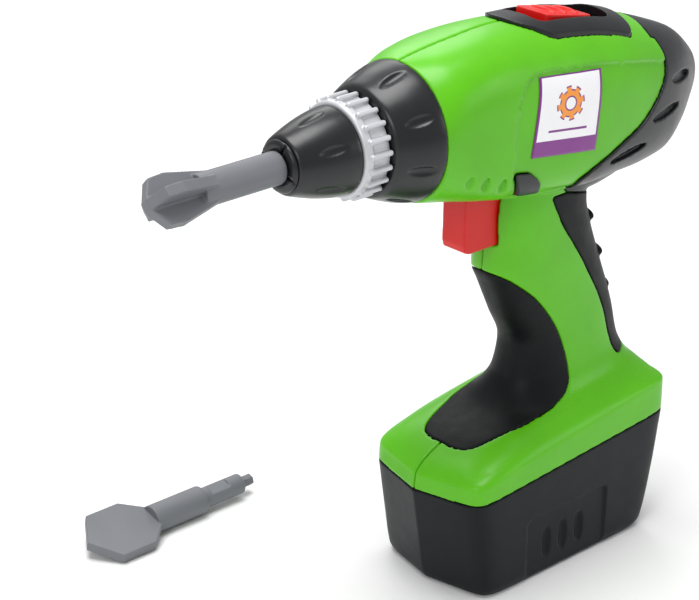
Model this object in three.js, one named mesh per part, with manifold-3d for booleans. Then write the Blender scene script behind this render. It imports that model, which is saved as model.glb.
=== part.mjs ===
// Toy power drill: a two-shell pistol body with a keyless-chuck style nose, a geared
// motor, a trigger, a direction switch, a battery foot and two push-in bits.
//
// Millimetres, +Z up. The origin is the centre of the flat underside of the battery
// foot. The chuck points along -X and the left shell is on the -Y side.

import * as THREE from 'three';
import { mergeVertices } from 'three/addons/utils/BufferGeometryUtils.js';
import Module from 'manifold-3d';

const wasm = await Module();
wasm.setup();

// ---------------------------------------------------------------- driving dimensions

const AXIS_Z = 155.5; // height of the chuck, spindle and motor axis
const WALL = 2.2; // thickness of the moulded shells
const GAP = 0.3; // clearance between separate pieces
const REACH = 200; // larger than the whole drill, for half-space cutters

const NOSE_X = -95.8; // front face of the chuck
const RING_X = [-75.0, -65.8]; // ribbed ring, front and back
const COLLAR_X = [-65.4, -50.3]; // black collar in front of the green body
const BODY_X = -50; // front edge of the green body
const TAIL_X = 80.9; // rearmost point of the body

const BORE_RADIUS = 4.4; // hole in the chuck that takes a bit
const BORE_DEPTH = 24;
const SPINDLE_RADIUS = 4;

const GEAR_MODULE = 0.6;
const PINION_TEETH = 10;
const WHEEL_TEETH = 30;
const GEAR_DISTANCE = (GEAR_MODULE * (PINION_TEETH + WHEEL_TEETH)) / 2;
const LAYSHAFT_Z = AXIS_Z - GEAR_DISTANCE;

const MOTOR_X = [8.5, 33.5];
const MOTOR_RADIUS = 10;
const MOTOR_FLAT = 7.7; // half the height over the motor's two flats

const TRIGGER_WIDTH = 9.6;
const BORDER_FRONT_Z = 35; // joint line between green foot and battery case, at the front
const BORDER_REAR_Z = 41.5; // and at the rear

const CELL_RADIUS = 7.1; // AA cell
const CELL_LENGTH = 49.2;
const CELL_Z = 11.5;
const CELL_Y = 8.2;
const CELL_X0 = -22;

const DOOR = { x0: -26, x1: 36, halfWidth: 18, thickness: 2 };

const SCREW_RADIUS = 1.5;
const SCREW_HEAD_RADIUS = 2.7;
const SCREW_HEAD_HEIGHT = 1.4;
const SCREW_HEAD_Y = 8.6; // how deep the housing screws' heads lie in their holes
const SCREW_PLACES = [
  [-36, 147],
  [-28, 171],
  [4.8, 132.6],
  [12, 92],
  [40, 52],
];

// ---------------------------------------------------------------- colours and materials

const GREEN = { color: 0x74bf3e, roughness: 0.38, metalness: 0 };
const BLACK = { color: 0x2b2c30, roughness: 0.5, metalness: 0 };
const GRIP_BLACK = { color: 0x17191c, roughness: 0.75, metalness: 0 };
const SILVER = { color: 0xb4b5ba, roughness: 0.35, metalness: 0.3 };
const RED = { color: 0xd23427, roughness: 0.4, metalness: 0 };
const GREY = { color: 0x7b7e84, roughness: 0.55, metalness: 0 };
const WHITE = { color: 0xf2f1f4, roughness: 0.4, metalness: 0 };
const STEEL = { color: 0xa9adb2, roughness: 0.3, metalness: 0.9 };
const BRASS = { color: 0xc9a44a, roughness: 0.3, metalness: 0.9 };
const NYLON = { color: 0xe8e4d8, roughness: 0.5, metalness: 0 };

// ---------------------------------------------------------------- solids

// Makes a closed geometry into a solid, dropping collapsed triangles and turning the
// faces outwards where they point in.
function toSolid(geometry) {
  const bare = geometry.clone();
  bare.deleteAttribute('normal');
  bare.deleteAttribute('uv');
  const merged = mergeVertices(bare, 1e-4);
  const places = merged.attributes.position.array;
  const corners = merged.index.array;
  const triangles = [];
  let volume = 0;
  const point = (index) => new THREE.Vector3().fromArray(places, 3 * index);
  for (let i = 0; i < corners.length; i += 3) {
    const [a, b, c] = [corners[i], corners[i + 1], corners[i + 2]];
    if (a === b || b === c || c === a) continue;
    triangles.push([a, b, c]);
    volume += point(a).dot(point(b).cross(point(c)));
  }
  if (volume < 0) triangles.forEach((triangle) => triangle.reverse());
  return new wasm.Manifold(new wasm.Mesh({
    numProp: 3,
    vertProperties: new Float32Array(places),
    triVerts: new Uint32Array(triangles.flat()),
  }));
}

function toGeometry(solid) {
  const mesh = solid.getMesh();
  const geometry = new THREE.BufferGeometry();
  geometry.setAttribute('position', new THREE.BufferAttribute(mesh.vertProperties, 3));
  geometry.setIndex(new THREE.BufferAttribute(mesh.triVerts, 1));
  geometry.computeVertexNormals();
  return geometry;
}

const join = (...solids) => solids.reduce((whole, solid) => whole.add(solid));
const cut = (solid, ...tools) => tools.reduce((rest, tool) => rest.subtract(tool), solid);

// The solid together with copies of itself moved a little each way, so that what it
// cuts stays clear of it.
function grown(solid, gap = GAP, steps = [[1, 0, 0], [-1, 0, 0], [0, 0, 1], [0, 0, -1]]) {
  const copies = steps.map((step) => solid.translate(step.map((part) => part * gap)));
  return join(solid, ...copies);
}

function box([x0, x1], [y0, y1], [z0, z1]) {
  const geometry = new THREE.BoxGeometry(x1 - x0, y1 - y0, z1 - z0);
  geometry.translate((x0 + x1) / 2, (y0 + y1) / 2, (z0 + z1) / 2);
  return toSolid(geometry);
}

// A round bar along X, Y or Z between two places on that axis.
function bar(axis, [from, to], radius, centre, segments = 24) {
  const geometry = new THREE.CylinderGeometry(radius, radius, to - from, segments);
  if (axis === 'x') geometry.rotateZ(-Math.PI / 2);
  if (axis === 'z') geometry.rotateX(Math.PI / 2);
  const middle = new THREE.Vector3(centre.x ?? 0, centre.y ?? 0, centre.z ?? 0);
  middle[axis] = (from + to) / 2;
  geometry.translate(middle.x, middle.y, middle.z);
  return toSolid(geometry);
}

// Turns a profile of [x, radius] points about the chuck axis.
function turned(profile, segments = 40) {
  const points = profile.map(([x, radius]) => new THREE.Vector2(radius, x));
  const geometry = new THREE.LatheGeometry(points, segments);
  geometry.rotateZ(-Math.PI / 2);
  geometry.translate(0, 0, AXIS_Z);
  return toSolid(geometry);
}

// Pushes a flat outline through a thickness. The outline's two coordinates are Y and Z
// for axis x, X and Z for axis y, and X and Y for axis z.
function prism(axis, outline, [from, to]) {
  const shape = outline instanceof THREE.Shape
    ? outline
    : new THREE.Shape(outline.map(([u, v]) => new THREE.Vector2(u, v)));
  const settings = { depth: to - from, bevelEnabled: false, curveSegments: 5 };
  const geometry = new THREE.ExtrudeGeometry(shape, settings);
  const [x, y, z] = [[1, 0, 0], [0, 1, 0], [0, 0, 1]].map((v) => new THREE.Vector3(...v));
  const turn = new THREE.Matrix4();
  if (axis === 'x') turn.makeBasis(y, z, x).setPosition(from, 0, 0);
  if (axis === 'y') turn.makeBasis(x, z, y.clone().negate()).setPosition(0, to, 0);
  if (axis === 'z') turn.setPosition(0, 0, from);
  geometry.applyMatrix4(turn);
  return toSolid(geometry);
}

function roundedRectangle([u0, u1], [v0, v1], radius) {
  const shape = new THREE.Shape();
  shape.moveTo(u0 + radius, v0);
  shape.lineTo(u1 - radius, v0);
  shape.absarc(u1 - radius, v0 + radius, radius, -Math.PI / 2, 0);
  shape.lineTo(u1, v1 - radius);
  shape.absarc(u1 - radius, v1 - radius, radius, 0, Math.PI / 2);
  shape.lineTo(u0 + radius, v1);
  shape.absarc(u0 + radius, v1 - radius, radius, Math.PI / 2, Math.PI);
  shape.lineTo(u0, v0 + radius);
  shape.absarc(u0 + radius, v0 + radius, radius, Math.PI, 1.5 * Math.PI);
  return shape;
}

const RING_POINTS = 24;

// One step of a rounded outline: the power sets how square it is.
function superCircle(step, power) {
  const angle = (2 * Math.PI * step) / RING_POINTS;
  const bend = (value) => Math.sign(value) * Math.abs(value) ** (2 / power);
  return [bend(Math.cos(angle)), bend(Math.sin(angle))];
}

// Skins a row of rings, each RING_POINTS points, and closes both ends.
function loft(rings) {
  const places = rings.flat();
  const triangles = [];
  for (let r = 0; r + 1 < rings.length; r += 1) {
    for (let i = 0; i < RING_POINTS; i += 1) {
      const [a, b] = [r * RING_POINTS + i, r * RING_POINTS + ((i + 1) % RING_POINTS)];
      triangles.push(a, b, b + RING_POINTS, a, b + RING_POINTS, a + RING_POINTS);
    }
  }
  [0, rings.length - 1].forEach((r) => {
    const centre = new THREE.Vector3();
    rings[r].forEach((place) => centre.addScaledVector(place, 1 / RING_POINTS));
    places.push(centre);
    for (let i = 0; i < RING_POINTS; i += 1) {
      const [a, b] = [r * RING_POINTS + i, r * RING_POINTS + ((i + 1) % RING_POINTS)];
      if (r === 0) triangles.push(b, a, places.length - 1);
      else triangles.push(a, b, places.length - 1);
    }
  });
  const geometry = new THREE.BufferGeometry().setFromPoints(places);
  geometry.setIndex(triangles);
  return toSolid(geometry);
}

// Upright rings across the barrel: [x, bottom, top, half width, power of the upper half,
// power of the lower half].
function barrelLoft(stations, inset = 0) {
  return loft(stations.map(([x, bottom, top, halfWidth, upperPower, lowerPower]) => {
    const centre = (top + bottom) / 2;
    const halfHeight = Math.max((top - bottom) / 2 - inset, 0.5);
    const half = Math.max(halfWidth - inset, 0.5);
    return Array.from({ length: RING_POINTS }, (_, i) => {
      const below = 2 * i > RING_POINTS;
      const [across, up] = superCircle(i, below ? lowerPower : upperPower);
      return new THREE.Vector3(x, half * across, centre + halfHeight * up);
    });
  }));
}

// Lying rings up the handle, tilted from front to rear:
// [front z, rear z, front x, rear x, half width, power, point at the front].
function handleLoft(stations, inset = 0) {
  return loft(stations.map(([frontZ, rearZ, frontX, rearX, halfWidth, power, nose = 0]) => {
    const centre = (frontX + rearX) / 2;
    const halfDepth = (rearX - frontX) / 2 - inset;
    return Array.from({ length: RING_POINTS }, (_, i) => {
      const [along, across] = superCircle(i, power);
      const point = along < 0 ? nose * (1 - Math.abs(across)) : 0;
      const x = centre + halfDepth * along - point;
      const z = frontZ + ((rearZ - frontZ) * (x - frontX)) / (rearX - frontX);
      return new THREE.Vector3(x, (halfWidth - inset) * across, z);
    });
  }));
}

const left = box([-REACH, REACH], [-REACH, -GAP / 2], [-REACH, 2 * REACH]);
const right = box([-REACH, REACH], [GAP / 2, REACH], [-REACH, 2 * REACH]);

// ---------------------------------------------------------------- body form

const BARREL = [
  [BODY_X, 134.1, 176.9, 21.4, 2, 2.2],
  [-42, 133.4, 178.2, 21.8, 2.7, 3],
  [-30, 131.6, 179.5, 22, 3.1, 4.2],
  [-14, 128.8, 180.6, 22, 2.7, 5],
  [2, 126.6, 180.5, 22, 2.35, 4.8],
  [16, 125.2, 179.2, 21.6, 2.3, 4.2],
  [30, 124.2, 176.6, 20.2, 2.3, 3.4],
  [44.5, 123.4, 172.4, 18, 2.2, 3],
  [56.8, 123.8, 168.2, 15, 2.2, 2.8],
  [67.2, 128.6, 163.8, 10.8, 2.1, 2.7],
  [74.4, 135, 158.6, 7, 2, 2.6],
  [79, 140.4, 153.8, 4.2, 2, 2.4],
  [TAIL_X, 144, 150.6, 1.4, 2, 2.2],
];

// The web that joins the barrel's underside to the back of the handle.
const WEB = [
  [2, 128, 150, 11, 3, 3],
  [8, 122.4, 150, 13, 3, 3.4],
  [24, 120.2, 150, 13.2, 2.6, 3.2],
  [34, 121, 150, 12.4, 2.4, 3],
  [44, 124, 150, 11, 2.4, 3],
  [54, 129, 150, 8, 2.4, 3],
];

const HANDLE = [
  [BORDER_FRONT_Z, BORDER_REAR_Z, -36.5, 51, 24.5, 14, 5.5],
  [40.5, 52.5, -36, 51, 24.5, 14, 5.5],
  [44, 54.5, -33, 50.8, 23.4, 6, 5],
  [48.5, 57, -24, 49.8, 20, 4, 4],
  [53.5, 60.5, -9, 47.4, 16, 3, 2],
  [62, 66.5, -2.5, 44.8, 13.4, 2.6],
  [72.4, 76, -0.8, 42.6, 12.5, 2.5],
  [84, 84, -6, 40, 12.3, 2.5],
  [96, 94, -11.6, 36, 12.3, 2.5],
  [101.5, 101.5, -14, 33, 12.3, 2.5],
  [109, 109, -13.6, 30, 12.4, 2.5],
  [119, 119, -13.6, 27, 12.7, 2.6],
  [131, 130, -12, 27, 13.2, 2.6],
];

const bodyForm = join(barrelLoft(BARREL), barrelLoft(WEB), handleLoft(HANDLE));

// A thinner copy of the same form, for the hollow inside. The foot's shoulder is nearly
// level, so its rings are lowered as well.
const SHOULDER_HALF_WIDTH = 15; // only the shoulder's rings are wider
const FOOT_RUN_OUT = 2; // the hollow is open below
function innerForm(inset) {
  const lowered = HANDLE.map(([frontZ, rearZ, ...rest], i) => {
    const shoulderDrop = rest[2] > SHOULDER_HALF_WIDTH ? 0.5 * inset : 0;
    const drop = i === 0 ? FOOT_RUN_OUT : shoulderDrop;
    return [frontZ - drop, rearZ - drop, ...rest];
  });
  return join(
    barrelLoft(BARREL
      .map(([x, ...rest]) => [Math.min(Math.max(x, BODY_X + inset), TAIL_X - inset), ...rest])
      .filter(([x], i, all) => i === 0 || x > all[i - 1][0]), inset),
    barrelLoft(WEB, inset),
    handleLoft(lowered, inset),
  );
}

const cavity = innerForm(WALL);

// ---------------------------------------------------------------- openings and inserts

// Rear cap: everything behind a boundary that sweeps from the top, down the back and
// forward to the web of the grip.
const CAP_SWEEP = [
  [46, 200], [46, 170], [49, 165.5], [51.2, 160.5], [50.6, 156.5], [48.5, 151.7], [43.5, 146.7],
  [36.6, 141.9], [26.2, 138], [15.8, 134.3], [8.2, 131], [7.4, 128], [9.6, 125], [27.6, 119.6],
  [36, 114], [100, 114], [100, 200],
];
const capRegion = prism('y', CAP_SWEEP, [-40, 40]);

// Rear grip: a strip down the back of the handle.
const REAR_GRIP_OUTLINE = [
  [3.6, 124.4], [6.4, 119], [10.6, 112], [19.5, 99.7], [30, 82], [35.4, 64.5], [40, 61], [60, 62],
  [60, 114], [36, 114], [27.6, 119.2], [9.8, 124.5],
];
const rearGripRegion = prism('y', REAR_GRIP_OUTLINE, [-40, 40]);

// Front grip: wraps the front of the handle and runs down onto the foot as a tongue.
const FRONT_GRIP_OUTLINE = [
  [-40, 101.5], [-14, 101.5], [-8, 97.6], [1.8, 88.8], [10.4, 76], [13.8, 63], [12, 58], [5.7, 54.6],
  [-2, 49], [-8, 40], [-40, 40],
];
const TONGUE_PLAN = new THREE.Shape();
TONGUE_PLAN.moveTo(40, -16);
TONGUE_PLAN.lineTo(-3, -15.8);
TONGUE_PLAN.lineTo(-24, -11.8);
TONGUE_PLAN.quadraticCurveTo(-29.6, -10.4, -29.6, -5);
TONGUE_PLAN.lineTo(-29.6, 5);
TONGUE_PLAN.quadraticCurveTo(-29.6, 10.4, -24, 11.8);
TONGUE_PLAN.lineTo(-3, 15.8);
TONGUE_PLAN.lineTo(40, 16);
const tongueEnd = prism('z', TONGUE_PLAN, [40, 66]);
const gripUpper = box([-40, 40], [-40, 40], [55.5, 110]);
const frontGripRegion = prism('y', FRONT_GRIP_OUTLINE, [-40, 40])
  .intersect(join(tongueEnd, gripUpper));

// Switch bezel: a kite-shaped plate let into the top of the barrel.
const BEZEL_OUTLINE = roundedKite([-9, 38.5], [-14, 14], 8);
const BEZEL_WINDOW = roundedRectangle([-1, 31.4], [-8.6, 8.6], 4);
const BEZEL_LIFT = 0.9; // how far its face stands above the barrel
const bezelRegion = prism('z', BEZEL_OUTLINE, [158, 200]);

// A plate that is pointed at its front and rounded at its rear.
function roundedKite([x0, x1], [y0, y1], shoulder) {
  const shape = new THREE.Shape();
  const round = 7;
  const pointShare = 1 / 2.4; // width of the front edge as a share of the plate's
  shape.moveTo(x0, y0 * pointShare);
  shape.lineTo(x0 + shoulder, y0);
  shape.lineTo(x1 - round, y0);
  shape.absarc(x1 - round, y0 + round, round, -Math.PI / 2, 0);
  shape.absarc(x1 - round, y1 - round, round, 0, Math.PI / 2);
  shape.lineTo(x0 + shoulder, y1);
  shape.lineTo(x0, y1 * pointShare);
  return shape;
}

// Window: a plug with a flat front and a pointed rear, one in each side.
const WINDOW = [[-22.4, 140.8], [-18.4, 132], [-9.6, 131], [-11, 135.4], [-16, 139.6]];

// The outline moved outwards from its middle by a margin.
function spread(outline, margin) {
  const mean = (i) => outline.reduce((sum, place) => sum + place[i], 0) / outline.length;
  const middle = [mean(0), mean(1)];
  return outline.map(([u, v]) => {
    const [du, dv] = [u - middle[0], v - middle[1]];
    const scale = 1 + margin / Math.hypot(du, dv);
    return [middle[0] + du * scale, middle[1] + dv * scale];
  });
}
const WINDOW_DEPTH_Y = 9; // how near the middle the plugs reach
const windowRegion = (margin) => join(...[-1, 1].map((side) => prism(
  'y',
  spread(WINDOW, margin),
  side < 0 ? [-30, margin - WINDOW_DEPTH_Y] : [WINDOW_DEPTH_Y - margin, 30],
)));

// Label: a slanted plate stuck on each side panel.
const LABEL_OUTLINE = [[-15.8, 144.2], [13, 139.9], [15.2, 166.2], [-11.8, 169.2]];
const LABEL_THICKNESS = 0.5;
const PASTE = 0.05; // clearance between label and panel

// ---------------------------------------------------------------- housing halves

const bodyShell = cut(
  bodyForm,
  cavity,
  bar('x', [BODY_X - 1, BODY_X + 6], 17.6, { z: AXIS_Z }, 40),
  box([-60, 60], [-23, 23], [20, 36]).intersect(handleLoft(HANDLE, WALL)),
);

const TRIGGER_X = [-26.6, -3.5];
const TRIGGER_Z = [110.8, 131.2];
const TRIGGER_HEADROOM = 2.4; // the slot runs on above the trigger
const triggerSlot = box(
  [TRIGGER_X[0] - GAP, -6],
  [-TRIGGER_WIDTH / 2 - GAP, TRIGGER_WIDTH / 2 + GAP],
  [TRIGGER_Z[0] - GAP, TRIGGER_Z[1] + TRIGGER_HEADROOM],
);

// Ribs inside the shells carry the gearbox and the motor.
const RIBS = [
  { x: -16.5, hole: 15.4 },
  { x: 30.5, hole: MOTOR_RADIUS + 0.4 },
];
const ribs = join(...RIBS.map(({ x, hole }) => cut(
  box([x, x + 1.6], [-25, 25], [AXIS_Z - 12, 190]).intersect(bodyForm),
  bar('x', [x - 1, x + 3], hole, { z: AXIS_Z }, 24),
  box([x - 1, x + 3], [-14, 14], [100, AXIS_Z - 2]),
)));

// Bosses across the handle and barrel, each with a hole for its screw.
const bosses = join(...SCREW_PLACES.map(([x, z]) => bar('y', [-19, 19], 3.6, { x, z }, 12)))
  .intersect(bodyForm);
const screwHoles = join(...SCREW_PLACES.map(([x, z]) => join(
  bar('y', [-10, 9], SCREW_RADIUS + 0.2, { x, z }, 10),
  bar('y', [7, 40], SCREW_HEAD_RADIUS + GAP, { x, z }, 12),
)));

// Three oval dimples in front of each window.
const DIMPLES = [[-40.1, 141.3], [-33.8, 139.7], [-26.8, 137.6]];
const DIMPLE_Y = 19.9;
const dimples = join(...DIMPLES.flatMap(([x, z]) => [-1, 1].map((side) => {
  const geometry = new THREE.SphereGeometry(1, 8, 5);
  geometry.scale(1.3, 1.1, 3);
  geometry.translate(x, side * DIMPLE_Y, z);
  return toSolid(geometry);
})));

const inserts = join(
  grown(capRegion),
  grown(rearGripRegion),
  grown(frontGripRegion, GAP, [[1, 0, 0], [0, 0, 1], [0, 1, 0], [0, -1, 0]]),
  grown(bezelRegion, GAP, [[1, 0, 0], [-1, 0, 0], [0, 1, 0], [0, -1, 0]]),
  windowRegion(GAP),
);

const housing = cut(
  join(bodyShell, ribs, bosses),
  inserts,
  triggerSlot,
  screwHoles,
  dimples,
);

// Keeps the largest of the separate pieces that cutting leaves.
function largestPiece(solid) {
  return solid.decompose().reduce((best, piece) => (piece.volume() > best.volume() ? piece : best));
}

const leftHousing = largestPiece(housing.intersect(left));
const rightHousing = largestPiece(housing.intersect(right));

// ---------------------------------------------------------------- inserts as pieces

// Gills: [x, z, half length, tilt], leaf-shaped grooves cut this deep into the skin.
const GILLS = [[60, 151, 7, -6], [50.5, 142.2, 9.6, 3], [30.5, 133.9, 11, 3]];
const GILL_DEPTH = 1;
const gills = join(...GILLS.map(([x, z, halfLength, tilt]) => {
  const geometry = new THREE.SphereGeometry(1, 8, 5);
  geometry.scale(halfLength, 30, 1.3);
  geometry.rotateY(-THREE.MathUtils.degToRad(tilt));
  geometry.translate(x, 0, z);
  return toSolid(geometry);
}));
const rearCap = largestPiece(cut(
  bodyForm.intersect(capRegion),
  cavity,
  grown(rearGripRegion),
  cut(gills, innerForm(GILL_DEPTH)),
));

// Finger bumps stand out of the rear grip.
const BUMPS = [[30.6, 110], [35.6, 96.5], [39.6, 84]];
const gripBumps = join(...BUMPS.map(([x, z]) => bar('y', [-5, 5], 2.6, { x: x - 2.2, z }, 12)));
const rearGrip = largestPiece(cut(
  join(bodyForm, gripBumps).intersect(rearGripRegion),
  cavity,
));

const frontGrip = largestPiece(cut(bodyForm.intersect(frontGripRegion), cavity));

const bezelTop = bodyForm.translate([0, 0, BEZEL_LIFT]);
const switchBezel = largestPiece(cut(
  bezelTop.intersect(bezelRegion),
  cavity,
  prism('z', BEZEL_WINDOW, [120, 200]),
));

const windowPlug = (side) => largestPiece(cut(
  bodyForm.intersect(windowRegion(0)).intersect(side),
  cavity,
));

const label = (side) => largestPiece(cut(
  join(bodyForm.translate([0, LABEL_THICKNESS, 0]), bodyForm.translate([0, -LABEL_THICKNESS, 0])),
  grown(bodyForm, PASTE, [[0, 1, 0], [0, -1, 0]]),
).intersect(prism('y', LABEL_OUTLINE, [-40, 40])).intersect(side));

// ---------------------------------------------------------------- controls

// Direction switch: a thumb slide with three ridges, held under the bezel by its sole.
// It lies and slides along the slope of the barrel's top.
const SWITCH = { x: 13, z: 171, slope: 11.3, halfLength: 10.2, halfWidth: 7.2, top: 8.4 };
const SOLE_MARGIN = 1; // the sole is longer than the slide at either end
const switchOutline = roundedRectangle(
  [-SWITCH.halfLength, SWITCH.halfLength], [-SWITCH.halfWidth, SWITCH.halfWidth], 2.5);
const switchRidges = join(...[-5, 0, 5].map((x) => (
  bar('y', [-5.6, 5.6], 0.9, { x, z: SWITCH.top }, 12))));
const directionSwitch = join(
  prism('z', switchOutline, [0, SWITCH.top]),
  box([-SWITCH.halfLength - SOLE_MARGIN, SWITCH.halfLength + SOLE_MARGIN], [-9.8, 9.8], [-0.8, 0.8]),
  switchRidges,
).rotate([0, SWITCH.slope, 0]).translate([SWITCH.x, 0, SWITCH.z]);
const directionContacts = box([8.8, 20], [-5.5, 5.5], [163.8, 166.8]);

const TRIGGER_OUTLINE = new THREE.Shape();
TRIGGER_OUTLINE.moveTo(TRIGGER_X[0] + 0.4, TRIGGER_Z[1]);
TRIGGER_OUTLINE.lineTo(TRIGGER_X[0], TRIGGER_Z[0] + 2.4);
TRIGGER_OUTLINE.quadraticCurveTo(TRIGGER_X[0], TRIGGER_Z[0], TRIGGER_X[0] + 2.4, TRIGGER_Z[0]);
TRIGGER_OUTLINE.lineTo(TRIGGER_X[1], TRIGGER_Z[0]);
TRIGGER_OUTLINE.lineTo(TRIGGER_X[1], TRIGGER_Z[1]);
const TRIGGER_SPRING_Z = 118;
const triggerBlock = prism('y', TRIGGER_OUTLINE, [-TRIGGER_WIDTH / 2, TRIGGER_WIDTH / 2]);
const trigger = cut(
  triggerBlock,
  bar('x', [-14, 0], 3.4, { z: TRIGGER_SPRING_Z }, 20),
);

// A coil round the X axis.
function coil([x0, x1], radius, wire, turns, centre) {
  class Helix extends THREE.Curve {
    getPoint(t, target = new THREE.Vector3()) {
      const angle = 2 * Math.PI * turns * t;
      const x = x0 + (x1 - x0) * t;
      return target.set(x, centre.y + radius * Math.cos(angle), centre.z + radius * Math.sin(angle));
    }
  }
  const section = new THREE.Shape().absarc(0, 0, wire, 0, 2 * Math.PI);
  const settings = { steps: turns * 9, extrudePath: new Helix(), curveSegments: 3 };
  return toSolid(new THREE.ExtrudeGeometry(section, settings));
}
const triggerSpring = coil([-13.3, 3.6], 2.3, 0.4, 5, { y: 0, z: TRIGGER_SPRING_Z });

const SWITCH_BLOCK_X = [4.4, 17];
const triggerSwitch = join(
  box(SWITCH_BLOCK_X, [-5, 5], [108, 126]),
  bar('x', [2.4, 5], 1.1, { z: 123.2 }, 12),
);

// ---------------------------------------------------------------- nose

const collarProfile = [
  [COLLAR_X[0], 12.2], [COLLAR_X[0], 15.6], [COLLAR_X[0] + 0.8, 16.6], [-61, 18.2], [-56.5, 19.9],
  [-52.5, 21], [COLLAR_X[1], 21.3], [COLLAR_X[1], 17.2], [-45, 17.2], [-45, 15], [-61, 12.2],
  [COLLAR_X[0], 12.2],
];

// Shallow leaf-shaped hollows round a cone: an ellipsoid sunk into the side, repeated.
function hollows(count, [x, radius], [length, width, depth], lean, phase) {
  return join(...Array.from({ length: count }, (_, i) => {
    const geometry = new THREE.SphereGeometry(1, 8, 5);
    geometry.scale(length / 2, width / 2, depth);
    geometry.rotateY(lean);
    geometry.translate(x, 0, radius);
    geometry.rotateX(phase + (2 * Math.PI * i) / count);
    geometry.translate(0, 0, AXIS_Z);
    return toSolid(geometry);
  }));
}
const collar = cut(turned(collarProfile, 32), hollows(8, [-57.6, 20.3], [11, 5, 1.4], -0.36, 0.3));

// Ribbed ring: a plain band in front and rounded ribs behind it.
const RIB_COUNT = 21; // evenly round the ring
const ringRibs = join(...Array.from({ length: RIB_COUNT }, (_, i) => {
  const rib = new THREE.CylinderGeometry(0.9, 0.9, 7.4, 6);
  rib.rotateZ(Math.PI / 2);
  rib.translate(-70.2, 0, 14.6);
  rib.rotateX((2 * Math.PI * i) / RIB_COUNT);
  rib.translate(0, 0, AXIS_Z);
  return toSolid(rib);
}));
const torqueRing = join(
  turned([
    [RING_X[0], 12.6], [RING_X[0], 13.7], [RING_X[0] + 0.5, 14.1], [RING_X[1], 14.6], [RING_X[1], 12.6],
    [RING_X[0], 12.6],
  ], 36),
  ringRibs.intersect(turned([[RING_X[0], 0], [RING_X[0], 20], [RING_X[1], 20], [RING_X[1], 0]], 32)),
);

// Chuck sleeve: a bullet-shaped cone with six hollows, open at its mouth.
const coneProfile = [
  [-94.4, 6.2], [-94.4, 8.1], [-93.6, 8.8], [-90, 10.1], [-85, 11.6], [-80, 12.7], [-76.4, 13.2],
  [-75.3, 13.2], [-75.3, 12.2], [-66.2, 12.2], [-66.2, 6.2], [-94.4, 6.2],
];
const chuckSleeve = cut(turned(coneProfile, 32), hollows(6, [-84, 12.3], [10, 4.4, 1.1], -0.26, 0.1));

// Bit socket: the liner of the bore, with four key slots in its front rim.
const socketSlots = join(...[0, 1].map((i) => {
  const slot = new THREE.BoxGeometry(1.6, 1.3, 18);
  slot.rotateX((Math.PI / 2) * i + 0.4);
  slot.translate(NOSE_X, 0, AXIS_Z);
  return toSolid(slot);
}));
const bitSocket = cut(
  turned([
    [NOSE_X, BORE_RADIUS], [NOSE_X, 7], [NOSE_X + 0.9, 7.8], [-94.7, 7.8], [-94.7, 5.9],
    [NOSE_X + BORE_DEPTH + 2, 5.9], [NOSE_X + BORE_DEPTH + 2, 0], [NOSE_X + BORE_DEPTH, 0],
    [NOSE_X + BORE_DEPTH, BORE_RADIUS], [NOSE_X, BORE_RADIUS],
  ], 40),
  socketSlots,
);

const spindle = turned([
  [-69.5, 0], [-69.5, 5.6], [-64, 5.6], [-64, SPINDLE_RADIUS], [-12, SPINDLE_RADIUS], [-12, 1.5],
  [-1.4, 1.5], [-1.4, 0],
], 28);

const bushSection = [
  [-60.6, SPINDLE_RADIUS + 0.05], [-60.6, 11.8], [-47, 14.2], [-45.4, 14.4], [-45.4, SPINDLE_RADIUS + 0.05],
  [-60.6, SPINDLE_RADIUS + 0.05],
];
const spindleBush = turned(bushSection, 32);

// ---------------------------------------------------------------- gearbox and motor

// A spur wheel: trapezium teeth on a pitch circle, cut at its outside and root.
function gear(teeth, [from, to], centreZ, bore, turn = 0) {
  const pitch = (GEAR_MODULE * teeth) / 2;
  const outer = pitch + 0.9 * GEAR_MODULE;
  const root = pitch - 1.2 * GEAR_MODULE;
  const step = (2 * Math.PI) / teeth;
  const outline = [];
  for (let i = 0; i < teeth; i += 1) {
    const centre = turn + i * step;
    [[root, -0.34], [outer, -0.13], [outer, 0.13], [root, 0.34]].forEach(([radius, share]) => {
      const angle = centre + share * step;
      outline.push([radius * Math.cos(angle), centreZ + radius * Math.sin(angle)]);
    });
  }
  const wheel = prism('x', outline, [from, to]);
  return bore > 0 ? cut(wheel, bar('x', [from - 1, to + 1], bore, { z: centreZ }, 20)) : wheel;
}

// Two meshing wheels stand one above the other. The lower wheel has a tooth straight
// up, and the upper wheel is turned so that a gap faces it.
const UP = Math.PI / 2;
const halfTooth = (teeth) => Math.PI / teeth;
const layshaftCentre = { z: LAYSHAFT_Z };
const outputGear = gear(WHEEL_TEETH, [-8.2, -4.6], AXIS_Z, 1.52, -UP + halfTooth(WHEEL_TEETH));
const intermediateGear = join(
  gear(PINION_TEETH, [-8.6, -2.8], LAYSHAFT_Z, 1.3, UP),
  gear(WHEEL_TEETH, [-2.9, 0.6], LAYSHAFT_Z, 1.3, UP),
);
const motorPinion = gear(PINION_TEETH, [-0.9, 3.6], AXIS_Z, 1.02, -UP + halfTooth(PINION_TEETH));
const layshaft = bar('x', [-13.6, 4.3], 1.25, layshaftCentre, 20);

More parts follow.
